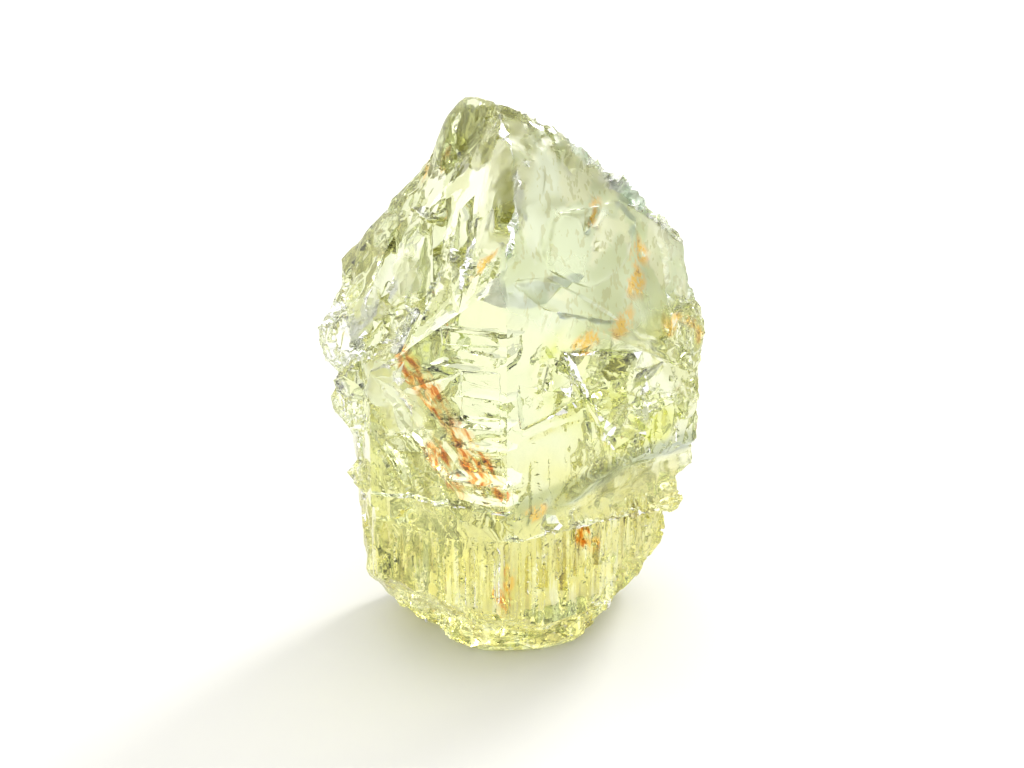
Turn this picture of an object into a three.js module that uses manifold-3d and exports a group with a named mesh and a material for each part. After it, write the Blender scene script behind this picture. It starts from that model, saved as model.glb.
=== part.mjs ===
// A heliodor: one natural crystal of golden beryl, clear and deeply etched, standing on its broken foot.
// Millimetres. +Z is up and runs along the crystal's c axis. The origin is on the flat of the foot.
// The edge between the two widest prism faces points to -Y, the side that the crystal shows best.
import * as THREE from "three";
import { mergeVertices } from "three/addons/utils/BufferGeometryUtils.js";
import Module from "manifold-3d";

const wasm = await Module();
wasm.setup();

// Driving dimensions. Azimuths are in degrees from +X towards +Y, elevations in degrees above the level.
const TOP = 60; // height of the raw prism, before its end is cut
const BEYOND = 200; // edge of the blocks that cut a whole side away

// The six prism faces stand 60 degrees apart, as on every beryl: azimuth and distance from the axis.
const PRISM_FACES = [[-110, 14.1], [-50, 11.5], [10, 16.1], [70, 13.0], [130, 11.0], [190, 13.9]];

// Partings: below a nearly level plane, one prism face stands further in.
const LEDGES = [
  { azimuth: -110, distance: 13.5, below: { azimuth: -110, elevation: 78, through: [0, -15, 17.6] } },
  { azimuth: -50, distance: 10.2, below: { azimuth: 40, elevation: 82, through: [4.5, -10.4, 13.9] } },
  { azimuth: 10, distance: 14.9, below: { azimuth: 100, elevation: 86, through: [16, -1, 15.0] } },
  { azimuth: 10, distance: 13.7, below: { azimuth: 20, elevation: 84, through: [15, 0, 11.2] } },
  { azimuth: 70, distance: 12.1, below: { azimuth: 20, elevation: 82, through: [5, 12, 21] } },
  { azimuth: 130, distance: 10.2, below: { azimuth: 120, elevation: 80, through: [-7, 8, 9.5] } },
  { azimuth: 190, distance: 13.2, below: { azimuth: -120, elevation: 80, through: [-14, -2, 30.5] } },
  { azimuth: 190, distance: 12.9, below: { azimuth: 150, elevation: 84, through: [-13, -2, 15.5] } },
];

// The faces of the upper end and the broken facets under the body: azimuth, elevation and a point on each.
const END_FACES = [
  { azimuth: -160, elevation: 35.5, through: [-10, 0, 39.0] },
  { azimuth: -140, elevation: 31, through: [-4, -13.5, 35.2] },
  { azimuth: -36, elevation: 21, through: [0, -15, 38] },
  { azimuth: -38, elevation: 50, through: [3.5, -4.8, 46.3] },
  { azimuth: 40, elevation: 59.5, through: [3.6, -2.3, 47.5] },
  { azimuth: 25, elevation: 45.6, through: [5.9, -1.3, 45.6] },
  { azimuth: 80, elevation: 42, through: [0, 7, 42] },
  { azimuth: 145, elevation: 36, through: [-8, 6, 38] },
];
const FOOT_FACES = [
  { azimuth: -92, elevation: -49, through: [0, -5.2, 0] },
  { azimuth: -124, elevation: -44, through: [-4.1, -4.0, 0] },
  { azimuth: -150, elevation: -38, through: [-7.9, -1.7, 0] },
  { azimuth: 186, elevation: -22, through: [-9.9, 0, 0] },
  { azimuth: -54, elevation: -44, through: [4.9, -3.9, 0] },
  { azimuth: -21, elevation: -34, through: [8.2, -1.0, 0] },
  { azimuth: 48, elevation: -44, through: [7, 6.5, 0] },
  { azimuth: 95, elevation: -36, through: [0, 8.6, 0] },
  { azimuth: 140, elevation: -45, through: [-7, 5.6, 0] },
];

// The rounded smooth end at the top left: two uneven ellipsoids and what lies between them.
const KNOB = [
  { at: [-3.0, -1.0, 45.4], radii: [2.5, 3.3, 4.3], uneven: 0.05, detail: 3 },
  { at: [-3.2, 0.6, 37.0], radii: [5.6, 5.6, 5.4], uneven: 0.05, detail: 2 },
];

// Angular lumps that stand out of the body, and shell-shaped breaks that go into it.
const LUMPS = [
  { at: [-13.9, -2.2, 28.2], radii: [2.4, 2.6, 2.9], turn: 20, uneven: 0.3, detail: 1 },
  { at: [-12.9, -4.6, 25.2], radii: [1.8, 2.2, 2.0], turn: 60, uneven: 0.3, detail: 1 },
  { at: [-13.2, 0.6, 31.2], radii: [1.7, 2.6, 1.6], turn: 0, uneven: 0.3, detail: 1 },
  { at: [-13.0, -1.6, 22.2], radii: [2.0, 3.2, 2.5], turn: 0, uneven: 0.3, detail: 1 },
  { at: [-12.9, 1.8, 19.6], radii: [1.6, 2.4, 2.0], turn: 0, uneven: 0.3, detail: 1 },
  { at: [-11.6, -5.2, 16.9], radii: [1.6, 2.2, 2.2], turn: 0, uneven: 0.3, detail: 1 },
  { at: [-11.5, -2.6, 10.6], radii: [1.4, 3.4, 3.2], turn: 0, uneven: 0.25, detail: 1 },
  { at: [15.4, -1.2, 27.8], radii: [1.6, 2.4, 3.0], turn: 0, uneven: 0.3, detail: 1 },
  { at: [15.5, 1.4, 24.0], radii: [1.6, 2.6, 2.0], turn: 0, uneven: 0.3, detail: 1 },
  { at: [15.4, -1.6, 22.4], radii: [1.3, 1.6, 1.8], turn: 0, uneven: 0.3, detail: 1 },
  { at: [13.9, -2.2, 12.7], radii: [1.7, 2.4, 1.1], turn: -50, uneven: 0.2, detail: 1 },
  { at: [15.3, -0.6, 15.6], radii: [1.4, 2.2, 1.5], turn: 0, uneven: 0.2, detail: 1 },
  { at: [0.8, -5.3, 2.3], radii: [7.0, 3.1, 2.8], turn: 4, uneven: 0.08, detail: 2 },
  { at: [4.5, 12.6, 17], radii: [4.2, 1.6, 2.6], turn: -20, uneven: 0.3, detail: 1 },
  { at: [-8.5, 6.8, 27], radii: [3.6, 1.6, 4.2], turn: 40, uneven: 0.3, detail: 1 },
];
const SCOOPS = [
  { at: [13.7, -5.8, 15.4], radii: [11.6, 3.2, 3.4], turn: 40, tilt: 0, uneven: 0.02, detail: 4 },
  { at: [13.6, -8.6, 21.8], radii: [3.8, 3.2, 2.8], turn: 40, tilt: -24, uneven: 0.04, detail: 3 },
  { at: [-16.0, -9.8, 32.4], radii: [3.4, 3.2, 4.2], turn: 60, tilt: 0, uneven: 0.05, detail: 3 },
  { at: [-15.6, -8.0, 19.6], radii: [2.4, 3.2, 2.2], turn: 60, tilt: 0, uneven: 0.06, detail: 3 },
  { at: [10, 16.6, 27], radii: [7, 6, 8], turn: -20, tilt: 0, uneven: 0.03, detail: 3 },
  { at: [-14.6, 11.6, 15], radii: [7, 6, 8], turn: 30, tilt: 0, uneven: 0.03, detail: 3 },
  { at: [-4.5, 14.5, 36], radii: [5, 5, 4], turn: 10, tilt: 20, uneven: 0.04, detail: 3 },
];

// Etched pits in the hazy face at the upper right and on the back.
const PITS = [
  { at: [7.4, -3.7, 39.7], radii: [0.4, 0.7, 1.1], turn: -36, tilt: 14, uneven: 0.2, detail: 1 },
  { at: [6.6, -4.9, 39.6], radii: [0.35, 0.6, 0.9], turn: -36, tilt: 14, uneven: 0.2, detail: 1 },
  { at: [7.5, -4.8, 37.8], radii: [0.35, 0.5, 0.6], turn: -36, tilt: 14, uneven: 0.2, detail: 1 },
  { at: [11.5, -0.8, 35.4], radii: [0.5, 0.8, 1.2], turn: -36, tilt: -20, uneven: 0.2, detail: 1 },
  { at: [5.2, -3.4, 44.8], radii: [0.5, 0.6, 1.3], turn: -36, tilt: 14, uneven: 0.2, detail: 1 },
  { at: [8.2, -0.6, 42.8], radii: [0.4, 0.5, 0.8], turn: -36, tilt: 14, uneven: 0.2, detail: 1 },
  { at: [2.8, -10.2, 39.5], radii: [0.5, 0.8, 0.7], turn: -36, tilt: 14, uneven: 0.2, detail: 1 },
  { at: [-1.5, 13.8, 26], radii: [2.2, 0.5, 1.4], turn: -20, uneven: 0.25, detail: 1 },
  { at: [8.6, 10.6, 12], radii: [2.6, 0.6, 1.2], turn: -20, uneven: 0.25, detail: 1 },
  { at: [-12.9, 4.6, 26.5], radii: [1.6, 0.6, 2.2], turn: 40, uneven: 0.25, detail: 1 },
];

// Deep thin cracks that run in from the skin: the middle, the azimuth and elevation that the crack faces, the line
// that it is longest along, and its half length and half width.
const DEEP_CRACKS = [
  { at: [-3.8, -12.2, 30.4], facing: [0, 88], along: [0.94, -0.34, 0], reach: [2.3, 2.2] },
  { at: [-1.5, -12.8, 27.8], facing: [90, 86], along: [0.94, -0.34, 0], reach: [2.6, 2.9] },
  { at: [-2.5, -12.4, 25.2], facing: [180, 87], along: [0.94, -0.34, 0], reach: [2.9, 2.5] },
  { at: [-2.2, -12.5, 23.2], facing: [60, 88], along: [0.94, -0.34, 0], reach: [2.4, 2.3] },
  { at: [-1.8, -12.6, 20.2], facing: [-90, 87], along: [0.94, -0.34, 0], reach: [2.9, 2.6] },
  { at: [-1.9, -12.4, 18.3], facing: [0, 87], along: [0.94, -0.34, 0], reach: [2.5, 2.4] },
  { at: [-2.5, -12.5, 33.4], facing: [80, 86], along: [0.94, -0.34, 0], reach: [3.5, 2.5] },
  { at: [-1.2, -12.9, 31.9], facing: [-60, 88], along: [0.94, -0.34, 0], reach: [1.8, 2.4] },
  { at: [-6.9, -4.2, 40.2], facing: [0, 88], along: [0.9, -0.4, 0], reach: [2.7, 1.9] },
  { at: [3.4, -10.2, 36.0], facing: [-60, 62], along: [0.68, 0.56, -0.46], reach: [5.2, 1.6] },
  { at: [-11.0, -6.0, 32.6], facing: [-177, 40], along: [0.64, -0.05, 0.77], reach: [3.4, 1.9] },
  { at: [-8.1, -10.6, 32.6], facing: [-165, 30], along: [0.2, -0.1, 1], reach: [2.5, 1.7] },
  { at: [-8.6, -11.1, 24.5], facing: [-31, 27], along: [0.5, -0.18, -0.85], reach: [2.4, 1.5] },
  { at: [-7.1, -12.2, 22.4], facing: [-36, 30], along: [0.5, -0.18, -0.85], reach: [2.2, 1.5] },
  { at: [-5.7, -12.6, 20.7], facing: [-28, 24], along: [0.5, -0.18, -0.85], reach: [1.9, 1.4] },
  { at: [-9.3, -11.2, 20.6], facing: [-34, 30], along: [0.5, -0.18, -0.85], reach: [2.1, 1.5] },
  { at: [5.4, -10.1, 30.2], facing: [-50, -30], along: [0.2, 0.2, 0.9], reach: [2.1, 1.7] },
  { at: [9.2, -7.1, 28.4], facing: [-62, -26], along: [0.5, 0.4, -0.7], reach: [2.7, 1.9] },
  { at: [3.0, -12.4, 28.8], facing: [-20, -10], along: [-0.1, 0, 1], reach: [1.5, 1.5] },
  { at: [12.0, -4.8, 26.4], facing: [-44, -34], along: [0.3, 0.2, 0.9], reach: [1.9, 1.6] },
  { at: [12.9, -3.4, 22.6], facing: [-60, 65], along: [0.75, 0.6, 0.2], reach: [2.9, 1.8] },
];
const CRACK_GAP = 0.12; // the widest gap of a deep crack, at its middle
const CRACK_CORNERS = 9; // corners of its outline

// Zones where the surface is crumbled: from, to, radius, length of the small facets and how far they shift.
const ROUGH_ZONES = [
  { from: [-13, -8, 31.5], to: [-1.5, -12.5, 41.5], radius: 2.9, facet: 1.3, shift: 0.42 },
  { from: [-1.5, -12.5, 41.5], to: [1, -6, 48], radius: 2.0, facet: 1.3, shift: 0.36 },
  { from: [0.5, -4, 49], to: [6.5, -1.2, 46], radius: 2.2, facet: 1.3, shift: 0.36 },
  { from: [6.5, -1.2, 46], to: [16, 4.8, 34.8], radius: 1.5, facet: 1.3, shift: 0.34 },
  { from: [16, 1, 35], to: [16.2, -1.3, 21], radius: 2.2, facet: 1.4, shift: 0.36 },
  { from: [-14.5, -2, 31], to: [-13, -4, 13], radius: 2.4, facet: 1.4, shift: 0.36 },
  { from: [-9.9, -11.4, 27.5], to: [-5.6, -13, 19.5], radius: 2.9, facet: 1.5, shift: 0.5 },
  { from: [6.4, -9.6, 28], to: [11.6, -5.4, 21], radius: 3.2, facet: 2.0, shift: 0.5 },
  { from: [-9, -3.5, 1], to: [-3, -7.5, 2.5], radius: 2.2, facet: 1.4, shift: 0.28 },
  { from: [-3, -8, 2.5], to: [8, -5, 2.5], radius: 2.4, facet: 1.3, shift: 0.28 },
  { from: [8, -5, 2.5], to: [13, -1, 9], radius: 2.2, facet: 1.4, shift: 0.32 },
  { from: [8, 12, 30], to: [-9, 7, 20], radius: 3.2, facet: 2.7, shift: 0.5 },
];
const FOOT_KEPT = 0.9; // below this height nothing shifts, so that the flat of the foot stays flat
const COARSER = 1.25; // how fast the facets grow with the distance from a rough zone
const LONGEST = 9; // no edge of the body is longer than this
const SMALLEST = 0.02; // detail finer than this is merged at the end

// Straight fine ridges along the c axis on the lower front, between partings.
const RIDGES = { count: 15, bottom: 6.5, top: 15.5, width: 0.8, depth: 0.28 };

// Thin growth steps on the wide faces: the outline across and up the face, and how far it stands out or goes in.
const STEPS = [
  {
    face: { azimuth: -36, elevation: 21, through: [0, -15, 38] },
    outline: [[8.3, 3.8], [14.6, 2.8], [17.4, 2.4], [19, 0.2], [15.6, -2.8], [10.1, -3.3], [5.2, -0.1]],
    rise: 0.3,
  },
  {
    face: { azimuth: -36, elevation: 21, through: [0, -15, 38] },
    outline: [[4.4, 7.2], [5.5, 8.8], [8, 8.7], [9.1, 7.5], [7.5, 5.3], [4.8, 5.6]],
    rise: 0.25,
  },
  {
    face: { azimuth: -36, elevation: 21, through: [0, -15, 38] },
    outline: [[0.6, 0.4], [5, -0.6], [9.6, -3.9], [13, -7], [4, -3]],
    rise: -0.35,
  },
  {
    face: { azimuth: -110, elevation: 0, through: [-4.82, -13.25, 0] },
    outline: [[-0.6, 33.8], [4.4, 34.4], [4.4, 32.8], [-0.5, 32.3]],
    rise: -0.3,
  },
  {
    face: { azimuth: -110, elevation: 0, through: [-4.82, -13.25, 0] },
    outline: [[1.2, 30.2], [4.4, 30.4], [4.4, 26.3], [1.2, 25.9]],
    rise: -0.3,
  },
  {
    face: { azimuth: -50, elevation: 0, through: [7.39, -8.81, 0] },
    outline: [[-8.3, 29.2], [-1.1, 25.8], [-7.7, 25]],
    rise: -0.3,
  },
  {
    face: { azimuth: -50, elevation: 0, through: [7.39, -8.81, 0] },
    outline: [[-4, 31.1], [5.1, 28.6], [6.4, 24.4], [1.6, 22.4], [-2, 27.4]],
    rise: 0.3,
  },
];

// Upright notches that step down the sloping left end faces: where each one's inner corner stands, its levels,
// the azimuth of its bright riser and how deep and wide it is.
const NOTCHES = [
  { corner: [-6.2, -5.2], bottom: 34, top: 46, riser: -112, depth: 1.5, width: 1.9 },
  { corner: [-3.9, -7.4], bottom: 38, top: 47, riser: -100, depth: 1.2, width: 1.3 },
  { corner: [-9.4, -2.4], bottom: 33, top: 42, riser: -118, depth: 1.3, width: 1.6 },
  { corner: [-0.8, -8.2], bottom: 41, top: 50, riser: -96, depth: 1.4, width: 1.5 },
];

// A repeatable number from 0 to 1 for each whole number.
const random = (n) => {
  const wave = Math.sin(n * 127.1 + 311.7) * 43758.5453;
  return wave - Math.floor(wave);
};

// A closed geometry as a solid.
function solid(geometry) {
  const bare = geometry.clone();
  bare.deleteAttribute("normal");
  bare.deleteAttribute("uv");
  const merged = mergeVertices(bare, 1e-5);
  return new wasm.Manifold(
    new wasm.Mesh({
      numProp: 3,
      vertProperties: merged.attributes.position.array,
      triVerts: new Uint32Array(merged.index.array),
    }),
  );
}

// The unit vector at an azimuth and elevation.
function direction(azimuth, elevation) {
  const flat = Math.cos(THREE.MathUtils.degToRad(elevation));
  return new THREE.Vector3(
    flat * Math.cos(THREE.MathUtils.degToRad(azimuth)),
    flat * Math.sin(THREE.MathUtils.degToRad(azimuth)),
    Math.sin(THREE.MathUtils.degToRad(elevation)),
  );
}

// Everything on the outer side of a plane, as one large block.
function beyond({ azimuth, elevation, through }) {
  const block = new THREE.BoxGeometry(BEYOND, BEYOND, BEYOND).translate(0, 0, BEYOND / 2);
  const turn = new THREE.Quaternion().setFromUnitVectors(new THREE.Vector3(0, 0, 1), direction(azimuth, elevation));
  return solid(block.applyQuaternion(turn).translate(...through));
}

// The corner where two prism faces meet, given each one's azimuth and distance from the axis.
function corner([azimuthA, distanceA], [azimuthB, distanceB]) {
  const a = THREE.MathUtils.degToRad(azimuthA);
  const b = THREE.MathUtils.degToRad(azimuthB);
  const turn = Math.sin(b - a);
  return new THREE.Vector2(
    (distanceA * Math.sin(b) - distanceB * Math.sin(a)) / turn,
    (distanceB * Math.cos(a) - distanceA * Math.cos(b)) / turn,
  );
}

// An uneven ellipsoid: the points of a divided icosahedron, each moved in or out a little.
function pebble({ at, radii, turn = 0, tilt = 0, uneven, detail }) {
  const ball = new THREE.IcosahedronGeometry(1, detail);
  const points = ball.attributes.position;
  const point = new THREE.Vector3();
  for (let i = 0; i < points.count; i++) {
    point.fromBufferAttribute(points, i);
    const seed = Math.round(point.x * 97) + Math.round(point.y * 89) * 7 + Math.round(point.z * 83) * 13;
    point.multiplyScalar(1 + uneven * (2 * random(seed + at[2]) - 1));
    points.setXYZ(i, point.x, point.y, point.z);
  }
  ball.scale(...radii);
  ball.rotateY(THREE.MathUtils.degToRad(tilt));
  ball.rotateZ(THREE.MathUtils.degToRad(turn));
  return solid(ball.translate(...at));
}

// An angular lump or pit: the flat-sided skin around an uneven ellipsoid.
const shard = (lump) => pebble(lump).hull();

// A solid's points and faces as plain lists.
function listsOf(body) {
  const { vertProperties, triVerts } = body.getMesh();
  const points = [];
  for (let i = 0; i < vertProperties.length; i += 3)
    points.push(new THREE.Vector3(vertProperties[i], vertProperties[i + 1], vertProperties[i + 2]));
  const faces = [];
  for (let i = 0; i < triVerts.length; i += 3) faces.push([triVerts[i], triVerts[i + 1], triVerts[i + 2]]);
  return { points, faces };
}

// Points and faces as a geometry again.
function geometryOf({ points, faces }) {
  const geometry = new THREE.BufferGeometry().setFromPoints(points);
  geometry.setIndex(faces.flat());
  return geometry;
}

// The distance of a point from the middle line of a rough zone.
function distanceFrom(zone, point) {
  const line = new THREE.Line3(new THREE.Vector3(...zone.from), new THREE.Vector3(...zone.to));
  return line.closestPointToPoint(point, true, new THREE.Vector3()).distanceTo(point);
}

// How far a point of the surface may shift: the most that a rough zone gives it, fading to its rim.
function shiftAt(point) {
  const shifts = ROUGH_ZONES.map((zone) => {
    const share = 1 - distanceFrom(zone, point) / zone.radius;
    return zone.shift * THREE.MathUtils.clamp(share * 3, 0, 1);
  });
  return Math.max(...shifts);
}

// The longest edge at a point: the facets of the rough zones, and larger ones further from them.
function edgeLimit(point) {
  const limits = ROUGH_ZONES.map((zone) => {
    const outside = Math.max(0, distanceFrom(zone, point) - zone.radius);
    return zone.facet * (1.4 + COARSER * outside);
  });
  return Math.min(LONGEST, ...limits);
}

// Splits each edge that is longer than the limit at its middle, until none is left.
function splitLongEdges({ points, faces }) {
  let found = true;
  while (found) {
    found = false;
    const middles = new Map();
    const middleOf = (a, b) => {
      const key = a < b ? `${a},${b}` : `${b},${a}`;
      if (!middles.has(key)) {
        const middle = points[a].clone().add(points[b]).multiplyScalar(0.5);
        const tooLong = points[a].distanceTo(points[b]) > edgeLimit(middle);
        middles.set(key, tooLong ? points.push(middle) - 1 : null);
      }
      return middles.get(key);
    };
    const next = [];
    for (const face of faces) {
      const cuts = [0, 1, 2].map((i) => middleOf(face[i], face[(i + 1) % 3]));
      const count = cuts.filter((cut) => cut !== null).length;
      if (count === 0) {
        next.push(face);
        continue;
      }
      found = true;
      next.push(...splitFace(face, cuts, count, points));
    }
    faces = next;
  }
  return { points, faces };
}

// A face cut at the middles of one, two or three of its edges.
function splitFace(face, cuts, count, points) {
  if (count === 3) {
    const [ab, bc, ca] = cuts;
    const [a, b, c] = face;
    return [[a, ab, ca], [ab, b, bc], [ca, bc, c], [ab, bc, ca]];
  }
  // Turned so that the first edge is cut, and with two cuts the second is too.
  const start = [0, 1, 2].find((i) => cuts[i] !== null && (count === 1 || cuts[(i + 1) % 3] !== null));
  const [a, b, c] = [0, 1, 2].map((i) => face[(start + i) % 3]);
  const [ab, bc] = [0, 1].map((i) => cuts[(start + i) % 3]);
  if (count === 1) return [[a, ab, c], [ab, b, c]];
  const overA = points[a].distanceTo(points[bc]) < points[ab].distanceTo(points[c]);
  const rest = overA ? [[a, ab, bc], [a, bc, c]] : [[a, ab, c], [ab, bc, c]];
  return [[ab, b, bc], ...rest];
}

// Shifts each point of the rough zones a little, which breaks the surface into small facets.
function crumble({ points, faces }) {
  points.forEach((point, i) => {
    if (point.z < FOOT_KEPT) return;
    const reach = shiftAt(point);
    point.x += reach * (2 * random(i * 3 + 1) - 1);
    point.y += reach * (2 * random(i * 3 + 2) - 1);
    point.z += reach * (2 * random(i * 3 + 3) - 1);
  });
  return { points, faces };
}

// The space outside a prism face that stands further in below a plane.
function ledge({ azimuth, distance, below }) {
  const through = direction(azimuth, 0).multiplyScalar(distance).toArray();
  return beyond({ azimuth, elevation: 0, through }).subtract(beyond(below));
}

// A flat plate with the step's outline, sunk to the same depth on both sides of its face.
function plate({ face, outline, rise }) {
  const shape = new THREE.Shape(outline.map(([across, up]) => new THREE.Vector2(across, up)));
  const height = Math.abs(rise);
  const flat = new THREE.ExtrudeGeometry(shape, { depth: 2 * height, bevelEnabled: false });
  const out = direction(face.azimuth, face.elevation);
  const across = direction(face.azimuth + 90, 0);
  const frame = new THREE.Matrix4().makeBasis(across, out.clone().cross(across), out);
  return solid(flat.translate(0, 0, -height).applyMatrix4(frame.setPosition(...face.through)));
}

// An upright three-sided bar whose inner corner stands at the notch's corner.
function notch({ corner: [x, y], bottom, top, riser, depth, width }) {
  const shape = new THREE.Shape([
    new THREE.Vector2(0, 0),
    new THREE.Vector2(depth * 6, -0.2 * depth),
    new THREE.Vector2(depth * 6, width),
    new THREE.Vector2(0, width),
  ]);
  const bar = new THREE.ExtrudeGeometry(shape, { depth: top - bottom, bevelEnabled: false });
  return solid(bar.rotateZ(THREE.MathUtils.degToRad(riser)).translate(x, y, bottom));
}

// Grooves between the fine ridges: upright three-sided bars side by side along a prism face.
function grooves(azimuth, distance, from, to) {
  const bars = [];
  const { count, bottom, top, width, depth } = RIDGES;
  for (let i = 0; i < count; i++) {
    const across = from + ((to - from) * (i + 0.5 + 0.5 * random(i + azimuth))) / count;
    const wide = width * (0.5 + 0.7 * random(i * 5 + azimuth));
    const deep = depth * (0.5 + random(i * 7 + azimuth));
    const shape = new THREE.Shape([
      new THREE.Vector2(1, -wide / 2),
      new THREE.Vector2(1, wide / 2),
      new THREE.Vector2(-deep, 0),
    ]);
    const low = bottom + 3 * random(i * 11 + azimuth);
    const high = top - 3.5 * random(i * 13 + azimuth);
    const bar = new THREE.ExtrudeGeometry(shape, { depth: high - low, bevelEnabled: false });
    bar.translate(distance, across, low).rotateZ(THREE.MathUtils.degToRad(azimuth));
    bars.push(solid(bar));
  }
  return bars;
}

// A deep crack as a flat body with a sharp rim: an uneven ellipse of corners and a low point on either side.
function fracture({ at, facing, along, reach }, index) {
  const out = direction(...facing);
  const long = new THREE.Vector3(...along).projectOnPlane(out).normalize();
  const wide = out.clone().cross(long);
  const middle = new THREE.Vector3(...at);
  const side = (sign) => middle.clone().addScaledVector(out, (sign * CRACK_GAP) / 2);
  const points = [side(1), side(-1)];
  for (let i = 0; i < CRACK_CORNERS; i++) {
    const turn = (2 * Math.PI * (i + 0.5 * random(index * 17 + i))) / CRACK_CORNERS;
    const size = 0.86 + 0.28 * random(index * 29 + i * 3);
    const rim = middle.clone().addScaledVector(long, size * reach[0] * Math.cos(turn));
    points.push(rim.addScaledVector(wide, size * reach[1] * Math.sin(turn)));
  }
  return wasm.Manifold.hull(points.map((point) => point.toArray()));
}

const join = (parts) => parts.reduce((whole, part) => whole.add(part));
const cut = (body, parts) => parts.reduce((whole, part) => whole.subtract(part), body);

// The prism with its ledges, end faces, foot, lumps and breaks, flat at the foot.
function massiveCrystal() {
  const corners = PRISM_FACES.map((face, i) => corner(face, PRISM_FACES[(i + 1) % PRISM_FACES.length]));
  const prism = solid(new THREE.ExtrudeGeometry(new THREE.Shape(corners), { depth: TOP, bevelEnabled: false }));
  const body = cut(prism, [...LEDGES.map(ledge), ...END_FACES.map(beyond), ...FOOT_FACES.map(beyond)]);
  const knob = wasm.Manifold.hull(KNOB.map(pebble));
  const whole = join([body, knob, ...LUMPS.map(shard)]);
  const floor = beyond({ azimuth: 0, elevation: -90, through: [0, 0, 0] });
  return cut(whole, [...SCOOPS.map(pebble), floor]);
}

// The crystal with everything that shows from a step away.
function heliodor() {
  const raised = STEPS.filter((step) => step.rise > 0).map(plate);
  const sunk = STEPS.filter((step) => step.rise < 0).map(plate);
  const hollows = [...NOTCHES.map(notch), ...PITS.map(shard)];
  const stepped = cut(join([massiveCrystal(), ...raised]), [...sunk, ...hollows]);
  const crumbled = solid(geometryOf(crumble(splitLongEdges(listsOf(stepped)))));
  const front = [...grooves(-110, 13.5, -6, 7), ...grooves(-50, 10.2, -9, 8)];
  const ridged = cut(crumbled, [...front, ...grooves(70, 12.1, -7, 6)]);
  return geometryOf(listsOf(cut(ridged, DEEP_CRACKS.map(fracture)).simplify(SMALLEST)));
}

const crystal = new THREE.Mesh(
  heliodor(),
  new THREE.MeshPhysicalMaterial({
    name: "golden beryl",
    color: 0xe6e8a8,
    roughness: 0.08,
    metalness: 0,
    transmission: 0.9,
    ior: 1.57,
    flatShading: true,
  }),
);
crystal.name = "crystal";

const group = new THREE.Group();
group.name = "heliodor";
group.add(crystal);

export default group;
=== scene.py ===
"""The looks of a heliodor: its etched skin, the iron stains in it, the table and the light.

Lengths in the tables are millimetres in the frame of the solid: +Z up, -Y towards the front edge.
"""

import math

import bpy
import numpy as np
from bpy.props import FloatProperty, FloatVectorProperty, PointerProperty
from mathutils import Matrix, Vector


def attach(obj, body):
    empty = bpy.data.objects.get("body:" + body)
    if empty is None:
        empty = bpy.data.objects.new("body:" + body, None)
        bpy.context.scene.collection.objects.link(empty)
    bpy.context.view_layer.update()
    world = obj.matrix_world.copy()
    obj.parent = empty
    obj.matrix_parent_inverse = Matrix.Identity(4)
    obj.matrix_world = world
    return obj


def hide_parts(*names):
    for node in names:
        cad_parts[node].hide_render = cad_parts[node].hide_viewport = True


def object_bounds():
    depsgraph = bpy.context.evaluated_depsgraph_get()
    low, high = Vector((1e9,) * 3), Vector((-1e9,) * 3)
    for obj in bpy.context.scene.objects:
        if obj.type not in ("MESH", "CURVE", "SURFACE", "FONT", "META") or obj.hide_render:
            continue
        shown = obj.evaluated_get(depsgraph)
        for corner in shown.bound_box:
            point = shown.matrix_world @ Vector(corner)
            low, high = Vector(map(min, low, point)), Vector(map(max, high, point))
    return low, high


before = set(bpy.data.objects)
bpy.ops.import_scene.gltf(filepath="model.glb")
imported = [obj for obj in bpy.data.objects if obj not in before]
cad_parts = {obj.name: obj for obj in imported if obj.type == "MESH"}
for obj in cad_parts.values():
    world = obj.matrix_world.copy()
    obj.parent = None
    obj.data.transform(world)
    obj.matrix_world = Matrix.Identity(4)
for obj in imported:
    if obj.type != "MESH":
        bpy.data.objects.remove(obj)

bl_info = {
    "name": "Heliodor crystal",
    "version": (1, 0, 0),
    "blender": (4, 5, 0),
    "location": "3D View > Sidebar > Heliodor",
    "description": "Gives the solid of a clear yellow-green beryl crystal its skin, inclusions and stage",
    "category": "Object",
}

MM = 0.001
CAD_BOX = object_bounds()
CAD_LOW = np.array(CAD_BOX[0]) / MM
CAD_HIGH = np.array(CAD_BOX[1]) / MM

# The photo's size in pixels, and the pixel that the camera's target is at.
IMAGE_WIDTH = 1024
IMAGE_HEIGHT = 768
TARGET_PIXEL = (510, 372)

# The faces of the solid that the finish follows: azimuth, elevation and a point on each.
PLANES = {
    "front_left": (-110, 0, (-4.82, -13.25, 0)),
    "front_right": (-50, 0, (7.39, -8.81, 0)),
    "left_slope": (-160, 35.5, (-10, 0, 39)),
    "band": (-140, 31, (-4, -13.5, 35.2)),
    "hazy_face": (-36, 21, (0, -15, 38)),
}

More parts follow.
